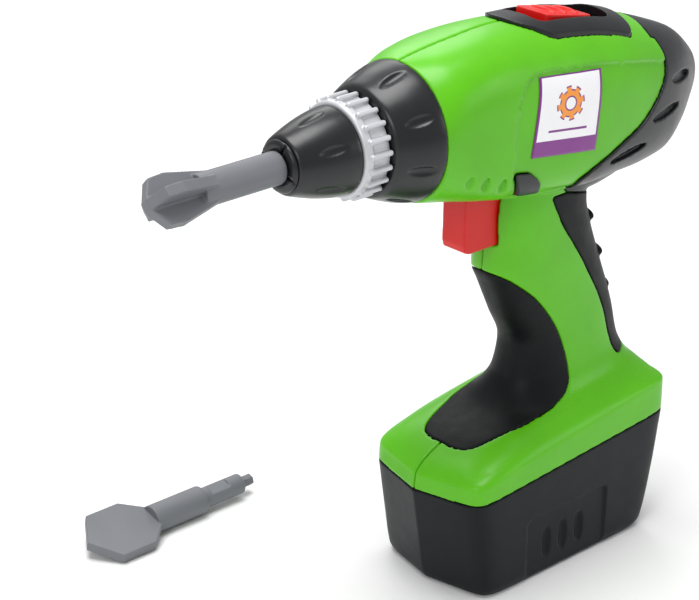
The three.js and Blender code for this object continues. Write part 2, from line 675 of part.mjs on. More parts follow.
const frontPlate = cut(
  bar('x', [-14.4, -12.4], 15, { z: AXIS_Z }, 40),
  bar('x', [-20, -10], SPINDLE_RADIUS + 0.05, { z: AXIS_Z }, 28),
  bar('x', [-13.6, -10], 1.3, layshaftCentre, 20),
);
const PILLAR = { radius: 1.8, y: 10.2, rise: 6.8 }; // the plates' two distance pieces
const pillars = join(...[-1, 1].map((side) => (
  bar('x', [-12.1, 6], PILLAR.radius, { y: side * PILLAR.y, z: AXIS_Z + PILLAR.rise }, 16))));
const rearPlate = cut(
  join(bar('x', [4.2, 6.2], 14, { z: AXIS_Z }, 40), pillars),
  bar('x', [0, 8], 3.6, { z: AXIS_Z }, 24),
  bar('x', [0, 4.35], 1.3, layshaftCentre, 20),
);

// A round bar on the motor's axis with two flats, smaller all round by an inset.
function flattened(span, inset = 0) {
  const half = MOTOR_FLAT - inset;
  const slab = box([-REACH, REACH], [-REACH, REACH], [AXIS_Z - half, AXIS_Z + half]);
  return bar('x', span, MOTOR_RADIUS - inset, { z: AXIS_Z }, 36).intersect(slab);
}
const CAN_THICKNESS = 1;
const motorCan = cut(
  flattened([MOTOR_X[0], MOTOR_X[1] - 3]),
  flattened([MOTOR_X[0] + CAN_THICKNESS, MOTOR_X[1]], CAN_THICKNESS),
  bar('x', [MOTOR_X[0] - 1, MOTOR_X[0] + 2], 1.6, { z: AXIS_Z }, 20),
);
const motorEndCap = cut(
  flattened([MOTOR_X[1] - 2.7, MOTOR_X[1]]),
  bar('x', [MOTOR_X[1] - 3, MOTOR_X[1] - 1], 1.1, { z: AXIS_Z }, 20),
);
const ARMATURE_SLOTS = 3;
const armature = cut(
  join(
    bar('x', [-0.7, MOTOR_X[1] - 1.2], 1, { z: AXIS_Z }, 16),
    bar('x', [MOTOR_X[0] + 5, MOTOR_X[1] - 7], 6, { z: AXIS_Z }, 30),
    bar('x', [MOTOR_X[1] - 6, MOTOR_X[1] - 4], 2.4, { z: AXIS_Z }, 20),
  ),
  ...Array.from({ length: ARMATURE_SLOTS }, (_, i) => {
    const slot = new THREE.BoxGeometry(20, 1.4, 4.4);
    slot.translate(MOTOR_X[0] + 12, 0, 4.6);
    slot.rotateX((2 * Math.PI * i) / ARMATURE_SLOTS);
    slot.translate(0, 0, AXIS_Z);
    return toSolid(slot);
  }),
);

// ---------------------------------------------------------------- battery foot

const CASE = [
  [0, 0, -30.4, 41, 22.2, 12, 4.6],
  [1.2, 1.2, -31.4, 42.4, 23.2, 13, 4.8],
  [3.2, 3.2, -32, 43.6, 23.8, 14, 5],
  [18, 20, -34.2, 47.6, 24.2, 14, 5.2],
  [BORDER_FRONT_Z - GAP, BORDER_REAR_Z - GAP, -36.5, 51, 24.5, 14, 5.5],
];
const caseForm = handleLoft(CASE);
const caseHollow = handleLoft([
  [2.4, 2.4, -30.4, 41, 23, 14, 4.6],
  ...CASE.slice(3, 4),
  [BORDER_FRONT_Z + 2, BORDER_REAR_Z + 2, -37, 51.6, 24.6, 14, 5.5],
], WALL);
const doorPlan = (margin) => roundedRectangle(
  [DOOR.x0 - margin, DOOR.x1 + margin], [-DOOR.halfWidth - margin, DOOR.halfWidth + margin], 3);
// A sunk panel in each side of the case, with three upright pips pressed into it.
const PANEL = { x: [-14.4, 22.6], z: [1.6, 22.6], y: 23.3 };
const PIPS = { x: [-4.6, 3, 10.6], z: 11.4 };
const sidePanels = join(
  box(PANEL.x, [-REACH, -PANEL.y], PANEL.z),
  box(PANEL.x, [PANEL.y, REACH], PANEL.z),
);
const panelPips = join(...PIPS.x.flatMap((x) => [-1, 1].map((side) => {
  const geometry = new THREE.SphereGeometry(1, 8, 5);
  geometry.scale(1.8, 0.9, 5);
  geometry.translate(x, side * PANEL.y, PIPS.z);
  return toSolid(geometry);
})));
const cradle = join(...[-18, 18].map((x) => cut(
  box([x, x + 2], [-21.4, 21.4], [2.6, 10]),
  ...[-1, 1].map((side) => bar('x', [x - 1, x + 3], CELL_RADIUS + GAP, { y: side * CELL_Y, z: CELL_Z }, 20)),
)));
const endWall = (x) => box([x, x + 1.6], [-16, 16], [WALL, 20]);
const endWalls = join(endWall(CELL_X0 - 5), endWall(CELL_X0 + CELL_LENGTH + 3.4));
const DOOR_LEDGE = 2.5; // width of the case's edge that the door lies on
const doorScrewPlace = { x: DOOR.x1 - 4, y: 0, z: 0.1 };
const batteryCase = largestPiece(cut(
  join(cut(caseForm, caseHollow), cradle, endWalls),
  prism('z', doorPlan(GAP), [-1, DOOR.thickness + GAP]),
  prism('z', doorPlan(-DOOR_LEDGE), [-1, 4]),
  sidePanels,
  panelPips,
  bar('z', [-1, 12], SCREW_RADIUS + 0.2, doorScrewPlace, 16),
));
const headSeat = [-1, doorScrewPlace.z + SCREW_HEAD_HEIGHT + 0.1];
const batteryDoor = cut(
  prism('z', doorPlan(0), [0, DOOR.thickness]),
  bar('z', [-1, 4], SCREW_RADIUS + 0.2, doorScrewPlace, 16),
  bar('z', headSeat, SCREW_HEAD_RADIUS + 0.2, doorScrewPlace, 20),
);

const cell = (side) => join(
  bar('x', [CELL_X0, CELL_X0 + CELL_LENGTH], CELL_RADIUS, { y: side * CELL_Y, z: CELL_Z }, 28),
  side > 0
    ? bar('x', [CELL_X0 + CELL_LENGTH - 0.5, CELL_X0 + CELL_LENGTH + 1.2], 2.7, { y: CELL_Y, z: CELL_Z }, 16)
    : bar('x', [CELL_X0 - 1.2, CELL_X0 + 0.5], 2.7, { y: -CELL_Y, z: CELL_Z }, 16),
);
const CONTACT_X = [CELL_X0 - 3, CELL_X0 + CELL_LENGTH + 3];
const bridgeContact = box([CONTACT_X[0], CONTACT_X[0] + 0.6], [-13, 13], [5, 18]);
const rearContact = (side) => box(
  [CONTACT_X[1] - 0.6, CONTACT_X[1]], side > 0 ? [2.6, 14] : [-14, -2.6], [5, 21]);

// ---------------------------------------------------------------- wiring

const WIRE_RADIUS = 0.6;

// A round wire through a few places, with flat ends.
function wire(places) {
  const route = new THREE.CatmullRomCurve3(places.map((place) => new THREE.Vector3(...place)));
  const section = new THREE.Shape().absarc(0, 0, WIRE_RADIUS, 0, 2 * Math.PI);
  const settings = { steps: 2 * places.length, extrudePath: route, curveSegments: 2 };
  return toSolid(new THREE.ExtrudeGeometry(section, settings));
}

const feedWire = wire([
  [31.6, -8, 21.4], [33, -7, 30], [31, -4, 46], [28, -3, 70], [22, -3, 98], [19, -3, 110], [17.8, -3, 112],
]);
const returnWire = wire([
  [31.6, 8, 21.4], [33, 7, 30], [31, 4, 46], [28, 3, 70], [22.5, 3, 98], [22, 5, 118], [24, 6, 134],
  [31, 6, 143], [36.5, 5, 147], [37, 4, 153], [34.4, 3.5, 157],
]);
const motorWire = wire([
  [17.8, -3, 122], [21, -4, 126], [24, -6, 136], [31, -6, 143], [36.5, -5, 147], [37, -4, 153],
  [34.4, -3.5, 157],
]);

// ---------------------------------------------------------------- screws

// A pan-head self-tapping screw with a cross recess, made head up and then turned.
function screw(length) {
  const crossArm = (turn) => {
    const arm = new THREE.BoxGeometry(3.2, 0.7, 1.4);
    arm.rotateZ(turn);
    return toSolid(arm);
  };
  return cut(
    join(
      bar('z', [-length, -1], SCREW_RADIUS, {}, 8),
      bar('z', [-SCREW_HEAD_HEIGHT, 0], SCREW_HEAD_RADIUS, {}, 12),
    ),
    crossArm(0),
    crossArm(Math.PI / 2),
  );
}
const housingScrew = screw(18).rotate([-90, 0, 0]);
const doorScrew = screw(8).scale([0.9, 0.9, 1]).rotate([180, 0, 0]);

// ---------------------------------------------------------------- bits

// Bits are turned about X with their shank's end towards +X and the shoulder, which
// stops against the chuck, at x = 0.
const SHANK = { length: 17, radius: 3.6, tip: 5, tipRadius: 2.1, flatSpan: [3, 11], flatDepth: 0.8 };
const BODY_RADIUS = 4.9;

function bitShank(bodyLength) {
  return cut(
    join(
      bar('x', [-bodyLength, 0], BODY_RADIUS, {}, 28),
      bar('x', [-0.5, SHANK.length], SHANK.radius, {}, 24),
      bar('x', [SHANK.length - 0.5, SHANK.length + SHANK.tip], SHANK.tipRadius, {}, 6),
    ),
    box(SHANK.flatSpan, [-8, 8], [SHANK.radius - SHANK.flatDepth, 8]),
    box(SHANK.flatSpan, [-8, 8], [-8, SHANK.flatDepth - SHANK.radius]),
  );
}

// Cross head: four wings that taper to the front and run out along the shaft.
function crossBitForm() {
  const wing = [
    [-45, 1.6], [-41.5, 7.2], [-36, 7.6], [-27, 5.6], [-20, 4], [-20, -4], [-27, -5.6], [-36, -7.6],
    [-41.5, -7.2], [-45, -1.6],
  ];
  const upright = prism('y', wing, [-1.7, 1.7]);
  return join(bitShank(28), upright, upright.rotate([90, 0, 0]));
}

// Spade head: a flat five-cornered blade whose back tapers into the shaft.
function spadeBitForm() {
  const blade = [
    [-47, 0], [-40, -11], [-27, -11], [-19, -4], [-14, -3], [-14, 3], [-19, 4], [-27, 11], [-40, 11],
  ];
  return join(bitShank(21), prism('z', blade, [-1.8, 1.8]));
}

const crossBit = crossBitForm().rotate([45, 0, 0]).translate([NOSE_X - GAP, 0, AXIS_Z]);
const SPADE_PLACE = [-63, 82, BODY_RADIUS];
const SPADE_ROLL = 15; // its blade's near corner all but touches the floor
const spadeBit = spadeBitForm().rotate([SPADE_ROLL, 0, 0]).translate(SPADE_PLACE);

// ---------------------------------------------------------------- assembly

const drill = new THREE.Group();

function addPart(name, solid, look) {
  const mesh = new THREE.Mesh(toGeometry(solid), new THREE.MeshStandardMaterial(look));
  mesh.name = name;
  drill.add(mesh);
  return mesh;
}

addPart('left_housing', leftHousing, GREEN);
addPart('right_housing', rightHousing, GREEN);
addPart('rear_cap', rearCap, BLACK);
addPart('front_grip', frontGrip, GRIP_BLACK);
addPart('rear_grip', rearGrip, GRIP_BLACK);
addPart('switch_bezel', switchBezel, BLACK);
addPart('left_window_plug', windowPlug(left), BLACK);
addPart('right_window_plug', windowPlug(right), BLACK);
addPart('left_label', label(left), WHITE);
addPart('right_label', label(right), WHITE);

addPart('direction_switch', directionSwitch, RED);
addPart('trigger', trigger, RED);
addPart('trigger_spring', triggerSpring, STEEL);
addPart('trigger_switch', triggerSwitch, BLACK);
addPart('direction_contacts', directionContacts, NYLON);

addPart('nose_collar', collar, BLACK);
addPart('torque_ring', torqueRing, SILVER);
addPart('chuck_sleeve', chuckSleeve, BLACK);
addPart('bit_socket', bitSocket, BLACK);
addPart('spindle', spindle, NYLON);
addPart('spindle_bush', spindleBush, NYLON);

addPart('output_gear', outputGear, NYLON);
addPart('intermediate_gear', intermediateGear, NYLON);
addPart('layshaft', layshaft, STEEL);
addPart('motor_pinion', motorPinion, BRASS);
addPart('gearbox_front_plate', frontPlate, BLACK);
addPart('gearbox_rear_plate', rearPlate, BLACK);
addPart('motor_can', motorCan, STEEL);
addPart('motor_end_cap', motorEndCap, NYLON);
addPart('motor_armature', armature, STEEL);

addPart('battery_case', batteryCase, BLACK);
addPart('battery_door', batteryDoor, BLACK);
addPart('front_contact', bridgeContact, STEEL);
addPart('rear_contact_left', rearContact(-1), STEEL);
addPart('rear_contact_right', rearContact(1), STEEL);
addPart('battery_cell_left', cell(-1), BRASS);
addPart('battery_cell_right', cell(1), BRASS);
addPart('feed_wire', feedWire, BLACK);
addPart('return_wire', returnWire, RED);
addPart('motor_wire', motorWire, BLACK);
addPart('door_screw', doorScrew.translate(Object.values(doorScrewPlace)), STEEL);

SCREW_PLACES.forEach(([x, z], i) => {
  addPart(`housing_screw_${i + 1}`, housingScrew.translate([x, SCREW_HEAD_Y, z]), STEEL);
});

addPart('cross_bit', crossBit, GREY);
addPart('spade_bit', spadeBit, GREY);

export default drill;
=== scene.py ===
"""Looks for the toy power drill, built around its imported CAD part.

The outer pieces are modelled here again at a finer grain, in millimetres, and scaled to
metres when they are done. The pieces inside keep their CAD shape and get a finish.
"""

import math

import bpy
import numpy as np
from mathutils import Matrix, Vector


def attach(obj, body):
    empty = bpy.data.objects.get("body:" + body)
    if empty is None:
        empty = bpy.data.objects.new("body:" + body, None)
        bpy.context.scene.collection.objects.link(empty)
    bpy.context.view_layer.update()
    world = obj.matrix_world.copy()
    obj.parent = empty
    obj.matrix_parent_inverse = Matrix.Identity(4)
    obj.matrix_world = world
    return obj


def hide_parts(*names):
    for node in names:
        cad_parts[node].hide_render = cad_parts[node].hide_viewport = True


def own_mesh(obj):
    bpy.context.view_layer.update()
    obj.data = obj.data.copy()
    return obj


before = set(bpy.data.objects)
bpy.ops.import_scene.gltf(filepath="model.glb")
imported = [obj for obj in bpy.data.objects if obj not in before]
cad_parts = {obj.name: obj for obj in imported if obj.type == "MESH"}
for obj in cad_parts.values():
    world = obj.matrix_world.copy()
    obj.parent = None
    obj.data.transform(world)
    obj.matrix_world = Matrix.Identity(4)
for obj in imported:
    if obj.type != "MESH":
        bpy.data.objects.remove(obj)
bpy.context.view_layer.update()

MM = 0.001
GRAIN = 0.42  # voxel size of the large shells
FINE_GRAIN = 0.26  # and of the small pieces

# ------------------------------------------------------------------ driving dimensions

AXIS_Z = 155.5  # height of the chuck and motor axis
WALL = 2.2
THICK_WALL = 3.2  # where grooves are sunk into the outside
SEAM = 0.14  # open joint between two pieces
REACH = 200.0

NOSE_X = -95.8
RING_X = (-75.0, -65.8)
COLLAR_X = (-65.4, -50.3)
BODY_X = -50.0
TAIL_X = 80.9
BORE_RADIUS = 4.4
BORE_DEPTH = 24.0

# Upright rings across the barrel:
# x, bottom, top, half width, power of the upper half, power of the lower half
BARREL = (
    (BODY_X, 134.1, 176.9, 21.4, 2, 2.2),
    (-42, 133.4, 178.2, 21.8, 2.7, 3),
    (-30, 131.6, 179.5, 22, 3.1, 4.2),
    (-14, 128.8, 180.6, 22, 2.7, 5),
    (2, 126.6, 180.5, 22, 2.35, 4.8),
    (16, 125.2, 179.2, 21.6, 2.3, 4.2),
    (30, 124.2, 176.6, 20.2, 2.3, 3.4),
    (44.5, 123.4, 172.4, 18, 2.2, 3),
    (56.8, 123.8, 168.2, 15, 2.2, 2.8),
    (67.2, 128.6, 163.8, 10.8, 2.1, 2.7),
    (74.4, 135, 158.6, 7, 2, 2.6),
    (79, 140.4, 153.8, 4.2, 2, 2.4),
    (TAIL_X, 144, 150.6, 1.4, 2, 2.2),
)
# The web that joins the barrel's underside to the back of the handle
WEB = (
    (2, 128, 150, 11, 3, 3),
    (8, 122.4, 150, 13, 3, 3.4),
    (24, 120.2, 150, 13.2, 2.6, 3.2),
    (34, 121, 150, 12.4, 2.4, 3),
    (44, 124, 150, 11, 2.4, 3),
    (54, 129, 150, 8, 2.4, 3),
)
# Lying rings up the handle, tilted from front to rear:
# front z, rear z, front x, rear x, half width, power, point at the front
BORDER = (35.0, 41.5, -36.5, 51, 24.5, 14, 5.5)
HANDLE = (
    BORDER,
    (40.5, 52.5, -36, 51, 24.5, 14, 5.5),
    (44, 54.5, -33, 50.8, 23.4, 6, 5),
    (48.5, 57, -24, 49.8, 20, 4, 4),
    (53.5, 60.5, -9, 47.4, 16, 3, 2),
    (62, 66.5, -2.5, 44.8, 13.4, 2.6, 0),
    (72.4, 76, -0.8, 42.6, 12.5, 2.5, 0),
    (84, 84, -6, 40, 12.3, 2.5, 0),
    (96, 94, -11.6, 36, 12.3, 2.5, 0),
    (101.5, 101.5, -14, 33, 12.3, 2.5, 0),
    (109, 109, -13.6, 30, 12.4, 2.5, 0),
    (119, 119, -13.6, 27, 12.7, 2.6, 0),
    (131, 130, -12, 27, 13.2, 2.6, 0),
)
CASE = (
    (0, 0, -30.4, 41, 22.2, 12, 4.6),
    (1.2, 1.2, -31.4, 42.4, 23.2, 13, 4.8),
    (3.2, 3.2, -32, 43.6, 23.8, 14, 5),
    (18, 20, -34.2, 47.6, 24.2, 14, 5.2),
    (34.8, 41.3, -36.5, 51, 24.5, 14, 5.5),
)

SCREW_PLACES = ((-36, 147), (-28, 171), (4.8, 132.6), (12, 92), (40, 52))
TRIGGER_X = (-26.6, -3.5)
TRIGGER_Z = (110.8, 131.2)
TRIGGER_WIDTH = 9.6
TRIGGER_GAP = 0.3
SPRING_X = (-13.3, 3.6)
SPRING_Z = 118.0
ACROSS = (-40, 40)  # right through the body, from side to side
SEAT_RADIUS = 17.6  # the round mouth that takes the nose collar
SCREW_HOLE_RADIUS = 1.7
SCREW_HEAD_RADIUS = 3
GILL_DEPTH = 1.6
BEZEL_LIFT = 0.9  # the bezel stands this far out of the barrel's top
CELL_RADIUS = 7.4
CELL_Y = 8.2
CELL_Z = 11.5
CASE_FLANK_Y = 23.3  # floor of the sunk panels on the battery case
DOOR_GAP = 0.3
DOOR_LEDGE = 2.5
DOOR_SCREW_X = 32

# ------------------------------------------------------------------ meshes


def mesh_object(name, places, faces):
    """A new object from places in millimetres."""
    mesh = bpy.data.meshes.new(name)
    mesh.from_pydata([tuple(place) for place in places], [], faces)
    mesh.update()
    obj = bpy.data.objects.new(name, mesh)
    bpy.context.scene.collection.objects.link(obj)
    return obj


def remove(*objs):
    for obj in objs:
        bpy.data.objects.remove(obj, do_unlink=True)


def applied(obj):
    """Replaces the object's mesh by what its modifiers make of it."""
    graph = bpy.context.evaluated_depsgraph_get()
    mesh = bpy.data.meshes.new_from_object(obj.evaluated_get(graph))
    obj.modifiers.clear()
    obj.data = mesh
    return obj


def copied(obj):
    twin = obj.copy()
    twin.data = obj.data.copy()
    bpy.context.scene.collection.objects.link(twin)
    return twin


def combine(operation, target, tools, keep=False):
    """Joins the tools to the target, cuts them out of it, or keeps what they share."""
    for tool in tools:
        step = target.modifiers.new("step", "BOOLEAN")
        step.operation = operation
        step.solver = "MANIFOLD"
        step.object = tool
    applied(target)
    if not keep:
        remove(*tools)
    return target


def join(target, *tools):
    return combine("UNION", target, tools)


def cut(target, *tools, keep=False):
    return combine("DIFFERENCE", target, tools, keep)


def common(target, *tools, keep=False):
    return combine("INTERSECT", target, tools, keep)


def rounded(obj, grain=GRAIN, passes=3):
    """Rebuilds the surface on an even grain and rounds its edges."""
    remesh = obj.modifiers.new("grain", "REMESH")
    remesh.mode = "VOXEL"
    remesh.voxel_size = grain
    soften = obj.modifiers.new("soften", "SMOOTH")
    soften.factor = 0.5
    soften.iterations = passes
    return applied(obj)


def moved(obj, matrix):
    obj.data.transform(matrix)
    obj.data.update()
    return obj


def skin(name, rings):
    """Skins a row of rings of equal length and closes both ends."""
    count = len(rings[0])
    faces = []
    for r in range(len(rings) - 1):
        for i in range(count):
            a, b = r * count + i, r * count + (i + 1) % count
            faces.append((a, b, b + count, a + count))
    faces.append(tuple(reversed(range(count))))
    faces.append(tuple(range((len(rings) - 1) * count, len(rings) * count)))
    obj = mesh_object(name, np.concatenate(rings), faces)
    return outward(obj)


def outward(obj):
    """Turns the faces so that the solid's volume counts as positive."""
    mesh = obj.data
    mesh.calc_loop_triangles()
    places = np.empty(3 * len(mesh.vertices))
    mesh.vertices.foreach_get("co", places)
    places = places.reshape(-1, 3)
    corners = np.empty(3 * len(mesh.loop_triangles), int)
    mesh.loop_triangles.foreach_get("vertices", corners)
    a, b, c = (places[corners[i::3]] for i in range(3))
    if np.einsum("ij,ij->", a, np.cross(b, c)) < 0:
        mesh.flip_normals()
    return obj


def box(x, y, z):
    places = [(i, j, k) for i in x for j in y for k in z]
    faces = [(0, 1, 3, 2), (4, 6, 7, 5), (0, 4, 5, 1), (2, 3, 7, 6), (0, 2, 6, 4), (1, 5, 7, 3)]
    return outward(mesh_object("box", places, faces))


def ring_of(radius, count=96):
    angles = np.arange(count) * 2 * math.pi / count
    return np.stack([radius * np.cos(angles), radius * np.sin(angles)], 1)


def bar(axis, span, radius, centre=(0, 0, 0), count=48):
    """A round bar along one axis."""
    circle = ring_of(radius, count)
    others = [i for i in range(3) if i != axis]
    rings = []
    for along in span:
        ring = np.tile(np.array(centre, float), (count, 1))
        ring[:, others[0]] += circle[:, 0]
        ring[:, others[1]] += circle[:, 1]
        ring[:, axis] = along
        rings.append(ring)
    return skin("bar", rings)


def turned(profile, count=144):
    """Turns a closed profile of (x, radius) points about the chuck axis."""
    profile = np.array(profile, float)
    places, faces = [], []
    for x, radius in profile:
        circle = ring_of(max(radius, 0.001), count)
        places += [(x, y, AXIS_Z + z) for y, z in circle]
    rows = len(profile)
    for r in range(rows):
        for i in range(count):
            a, b = r * count + i, r * count + (i + 1) % count
            c, d = ((r + 1) % rows) * count + (i + 1) % count, ((r + 1) % rows) * count + i
            faces.append((a, b, c, d))
    return outward(mesh_object("turned", places, faces))


def prism(axis, outline, span):
    """Pushes a flat outline through a thickness along one axis."""
    others = [i for i in range(3) if i != axis]
    rings = []
    for along in span:
        ring = np.zeros((len(outline), 3))
        ring[:, others] = outline
        ring[:, axis] = along
        rings.append(ring)
    return skin("prism", rings)


def ellipsoid(radii, matrix, count=24):
    rings = []
    for angle in np.linspace(0.02, math.pi - 0.02, count // 2 + 1):
        circle = ring_of(math.sin(angle), count)
        ring = np.stack([np.full(count, math.cos(angle)), circle[:, 0], circle[:, 1]], 1)
        rings.append(ring * np.array(radii))
    return moved(skin("ellipsoid", rings), matrix)


# ------------------------------------------------------------------ curves and outlines


def smooth_rows(rows, step):
    """Monotone cubic curves through the rows, sampled about every step."""
    rows = np.array(rows, float)
    gaps = np.linalg.norm(np.diff(rows[:, :5], axis=0), axis=1)
    at = np.concatenate([[0], np.cumsum(gaps)])
    slopes = np.diff(rows, axis=0) / gaps[:, None]
    product = slopes[:-1] * slopes[1:]
    total = slopes[:-1] + slopes[1:]
    inner = np.where(product > 0, 2 * product / np.where(total == 0, 1, total), 0)
    tangents = np.vstack([slopes[:1], inner, slopes[-1:]])
    places = np.linspace(0, at[-1], max(int(at[-1] / step), 2))
    k = np.clip(np.searchsorted(at, places, side="right") - 1, 0, len(gaps) - 1)
    u = ((places - at[k]) / gaps[k])[:, None]
    width = gaps[k][:, None]
    return (
        rows[k] * (2 * u**3 - 3 * u**2 + 1)
        + tangents[k] * width * (u**3 - 2 * u**2 + u)
        + rows[k + 1] * (3 * u**2 - 2 * u**3)
        + tangents[k + 1] * width * (u**3 - u**2)
    )


def curve_through(points, per=8):
    """A Catmull-Rom curve through 2-D points, both ends kept."""
    points = [np.array(point, float) for point in points]
    padded = [2 * points[0] - points[1], *points, 2 * points[-1] - points[-2]]
    line = []
    for p0, p1, p2, p3 in zip(padded, padded[1:], padded[2:], padded[3:]):
        for u in np.arange(per) / per:
            line.append(
                0.5
                * (2 * p1 + (p2 - p0) * u + (2 * p0 - 5 * p1 + 4 * p2 - p3) * u**2
                   + (3 * p1 - p0 - 3 * p2 + p3) * u**3)
            )
    return [*line, points[-1]]


def round_corners(outline, radius, per=6):
    """Rounds the corners of a polygon."""
    outline = [np.array(point, float) for point in outline]
    line = []
    for before, corner, after in zip(outline[-1:] + outline[:-1], outline, outline[1:] + outline[:1]):
        to_before, to_after = before - corner, after - corner
        reach = min(radius, np.linalg.norm(to_before) / 2, np.linalg.norm(to_after) / 2)
        start = corner + to_before / np.linalg.norm(to_before) * reach
        end = corner + to_after / np.linalg.norm(to_after) * reach
        for u in np.linspace(0, 1, per):
            line.append(start * (1 - u) ** 2 + 2 * corner * u * (1 - u) + end * u**2)
    return line


def widened(outline, margin):
    """Moves a closed outline outwards by a margin."""
    outline = np.array(outline, float)
    along = np.roll(outline, -1, 0) - np.roll(outline, 1, 0)
    along /= np.linalg.norm(along, axis=1)[:, None]
    normal = np.stack([along[:, 1], -along[:, 0]], 1)
    x, y = outline.T
    if np.sum(x * np.roll(y, -1) - y * np.roll(x, -1)) < 0:
        normal = -normal
    return outline + normal * margin


# ------------------------------------------------------------------ body form

RING_POINTS = 192


def super_circle(power_above, power_below):
    """A rounded outline: the powers set how square its halves are."""
    angles = np.arange(RING_POINTS) * 2 * math.pi / RING_POINTS
    cosine, sine = np.cos(angles), np.sin(angles)
    power = np.where(sine < 0, power_below, power_above)

    def bend(value):
        return np.sign(value) * np.abs(value) ** (2 / power)

    return bend(cosine), bend(sine)


def barrel_loft(stations, inset=0.0):
    rings = []
    for x, bottom, top, half_width, above, below in smooth_rows(stations, 1.6):
        across, up = super_circle(above, below)
        half_height = max((top - bottom) / 2 - inset, 0.3)
        half = max(half_width - inset, 0.3)
        centre = (top + bottom) / 2
        rings.append(np.stack([np.full_like(up, x), half * across, centre + half_height * up], 1))
    return skin("barrel", rings)


def handle_loft(stations, inset=0.0):
    rings = []
    for front_z, rear_z, front_x, rear_x, half_width, power, nose in smooth_rows(stations, 1.2):
        along, across = super_circle(power, power)
        point = np.where(along < 0, nose * (1 - np.abs(across)), 0)
        x = (front_x + rear_x) / 2 + ((rear_x - front_x) / 2 - inset) * along - point
        z = front_z + (rear_z - front_z) * (x - front_x) / (rear_x - front_x)
        rings.append(np.stack([x, (half_width - inset) * across, z], 1))
    return skin("handle", rings)


def body_form(inset=0.0):
    """The barrel, web and handle in one, or a smaller copy for the hollow inside."""
    ends = (BODY_X + inset, TAIL_X - inset)
    barrel = [(min(max(row[0], ends[0]), ends[1]), *row[1:]) for row in BARREL]
    barrel = [row for i, row in enumerate(barrel) if i == 0 or row[0] > barrel[i - 1][0]]
    handle = []
    for i, (front_z, rear_z, *rest) in enumerate(HANDLE):
        shoulder_drop = 0.7 * inset if rest[2] > 15 else 0
        drop = 2 * inset / WALL if i == 0 else shoulder_drop
        handle.append((front_z - drop, rear_z - drop, *rest))
    return join(barrel_loft(barrel, inset), barrel_loft(WEB, inset), handle_loft(handle, inset))


def barrel_side(x, z, inset=0.0):
    """Half width of the barrel at a place on its side."""
    rows = smooth_rows(BARREL, 0.5)
    bottom, top, half_width, above, below = (np.interp(x, rows[:, 0], rows[:, i]) for i in range(1, 6))
    up = (z - (top + bottom) / 2) / ((top - bottom) / 2 - inset)
    power = above if up > 0 else below
    return (half_width - inset) * (1 - min(abs(up), 1) ** power) ** (1 / power)


# ------------------------------------------------------------------ outlines on the body

CAP_OUTLINE = curve_through([
    (46, 200), (46, 170), (49, 165.5), (51.2, 160.5), (50.9, 156), (48.5, 151.7), (43.5, 146.7),
    (36.6, 141.9), (26.2, 138), (15.8, 134.3), (8.8, 131),
]) + [(7.4, 128), (9.6, 125), (27.6, 119.6), (36, 114), (100, 114), (100, 200)]
REAR_GRIP_OUTLINE = curve_through([
    (3.6, 124.4), (6.4, 119), (10.6, 112), (19.5, 99.7), (30, 82), (35.2, 66), (38, 61.4),
    (42, 61.6),
]) + [(60, 66), (60, 114), (36, 114), (27.6, 119.2), (9.8, 124.5)]
FRONT_GRIP_OUTLINE = [(-40, 101.8)] + curve_through([
    (-16, 101.8), (-13, 100.9), (-7.6, 97.4), (1.8, 88.8), (10.4, 76), (13.8, 63), (11.4, 57.2),
    (5.7, 54.4),
]) + [(-2, 49), (-8, 40), (-40, 40)]
TONGUE_HALF = curve_through([(40, 16), (-3, 15.8), (-14, 14), (-24, 11.6), (-28.4, 8.6), (-29.8, 4)])
TONGUE_PLAN = TONGUE_HALF + [(x, -y) for x, y in reversed(TONGUE_HALF)]
BEZEL_PLAN = round_corners(
    [(-9, -5.8), (-1, -14), (37.6, -13.6), (37.6, 13.6), (-1, 14), (-9, 5.8)], 4.5)
BEZEL_WINDOW = round_corners([(-1, -8.6), (31.4, -8.6), (31.4, 8.6), (-1, 8.6)], 4)
WINDOW = round_corners([(-22.4, 140.8), (-18.4, 132), (-9.6, 131), (-11, 135.4), (-16, 139.6)], 1.2)
WINDOW_DEPTH_Y = 9
PANEL_OUTLINE = curve_through([
    (-23.2, 129), (-23.4, 152), (-22.4, 161), (-19, 166.6), (-15.6, 168.9), (-11, 169.6), (2, 168.3),
    (16.2, 166.4), (32.8, 163.2), (49.5, 159.3), (70, 154),
]) + [(70, 110), (-23, 110)]
PANEL_DEPTH = 0.8
LABEL_CORNERS = ((-15.9, 144.3), (12.5, 140.2), (15.4, 165), (-12.1, 168.1))
DIMPLES = ((-40.1, 141.3), (-33.8, 139.7), (-26.8, 137.6))
DIMPLE_Y = 20.4
GILLS = ((61, 151, 8, -6), (50.5, 142.2, 10.4, 3), (30.5, 133.9, 12.4, 3))
BUMPS = ((30.6, 110), (35.6, 96.5), (39.6, 84))


def front_grip_region(margin):
    """Wraps the front of the handle and runs down onto the foot as a tongue."""
    tongue = prism(2, widened(TONGUE_PLAN, margin), (40, 58))
    upper = box((-45, 45), (-40, 40), (55.5, 110))
    return common(prism(1, widened(FRONT_GRIP_OUTLINE, margin), ACROSS), join(tongue, upper))


def window_region(margin, sides=(-1, 1)):
    outline = widened(WINDOW, margin)
    plugs = []
    for side in sides:
        span = sorted((side * (WINDOW_DEPTH_Y - margin), side * 30))
        plugs.append(prism(1, outline, span))
    return join(*plugs) if len(plugs) > 1 else plugs[0]


# ------------------------------------------------------------------ body shells

form = body_form()
cavity = body_form(WALL)

# The side panels are let into the skin.
panel_skin = common(prism(1, PANEL_OUTLINE, ACROSS), form, keep=True)
cut(panel_skin, box((-60, 90), (-14, 14), (100, 200)), body_form(PANEL_DEPTH))
cap_region = prism(1, CAP_OUTLINE, ACROSS)
cut(panel_skin, cap_region, keep=True)

